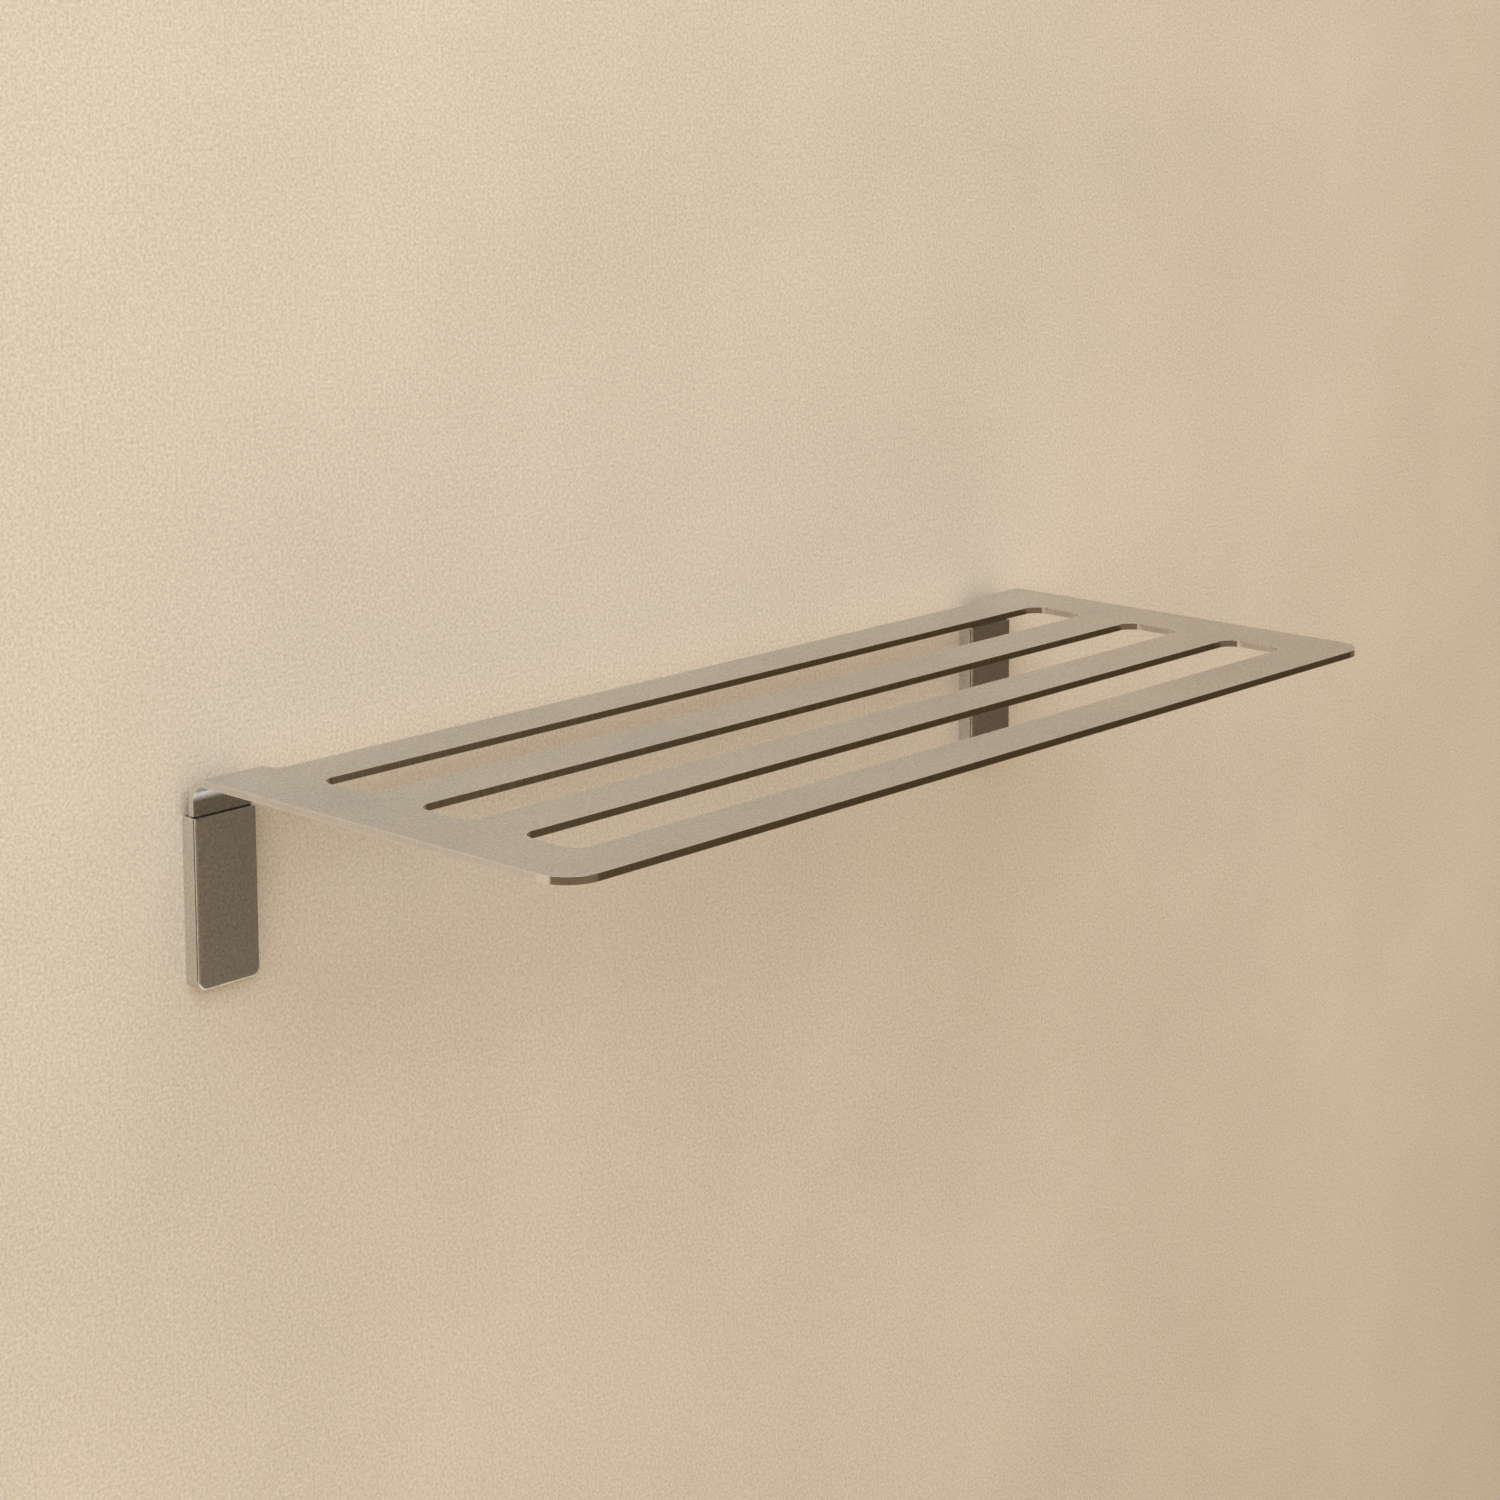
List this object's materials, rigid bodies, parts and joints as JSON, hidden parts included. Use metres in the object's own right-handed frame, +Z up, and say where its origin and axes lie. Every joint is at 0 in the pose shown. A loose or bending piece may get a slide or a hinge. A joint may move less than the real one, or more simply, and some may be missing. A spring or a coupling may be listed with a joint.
{
  "type": "towel rack",
  "caption": "Wall towel rack: a slotted flat metal shelf with rounded front corners, bent down at the rear onto two wall plates hidden by slim covers.",
  "frame": {"origin": "on the wall plane, at the centre of the four wall screws", "axes": "+X along the shelf to the right, +Y into the wall, +Z up"},
  "size_m": [0.6, 0.3012, 0.1015],
  "materials": {
    "satin_steel": "satin",
    "satin_cover": "satin",
    "zinc_plate": "zinc plated",
    "zinc_screw": "zinc plated",
    "stainless_screw": "stainless",
    "nylon_plug": "moulded nylon"
  },
  "bodies": {
    "rack": {"shelf_panel": "satin_steel", "left_wall_plate": "zinc_plate", "left_upper_wall_screw": "zinc_screw", "left_lower_wall_screw": "zinc_screw", "left_upper_wall_plug": "nylon_plug", "left_lower_wall_plug": "nylon_plug", "left_upper_clamp_screw": "stainless_screw", "left_lower_clamp_screw": "stainless_screw", "right_wall_plate": "zinc_plate", "right_upper_wall_screw": "zinc_screw", "right_lower_wall_screw": "zinc_screw", "right_upper_wall_plug": "nylon_plug", "right_lower_wall_plug": "nylon_plug", "right_upper_clamp_screw": "stainless_screw", "right_lower_clamp_screw": "stainless_screw"},
    "left_cover": {"left_cover": "satin_cover"},
    "left_cover_screw": {"left_cover_screw": "stainless_screw"},
    "right_cover": {"right_cover": "satin_cover"},
    "right_cover_screw": {"right_cover_screw": "stainless_screw"}
  },
  "joints": [
    {"name": "left_cover_slide", "type": "slide", "parent": "rack", "child": "left_cover", "axis": [0, 0, -1], "range_m": [0, 0.085]},
    {"name": "left_cover_screw_out", "type": "slide", "parent": "left_cover", "child": "left_cover_screw", "axis": [0, 0, -1], "range_m": [0, 0.006]},
    {"name": "right_cover_slide", "type": "slide", "parent": "rack", "child": "right_cover", "axis": [0, 0, -1], "range_m": [0, 0.085]},
    {"name": "right_cover_screw_out", "type": "slide", "parent": "right_cover", "child": "right_cover_screw", "axis": [0, 0, -1], "range_m": [0, 0.006]}
  ]
}
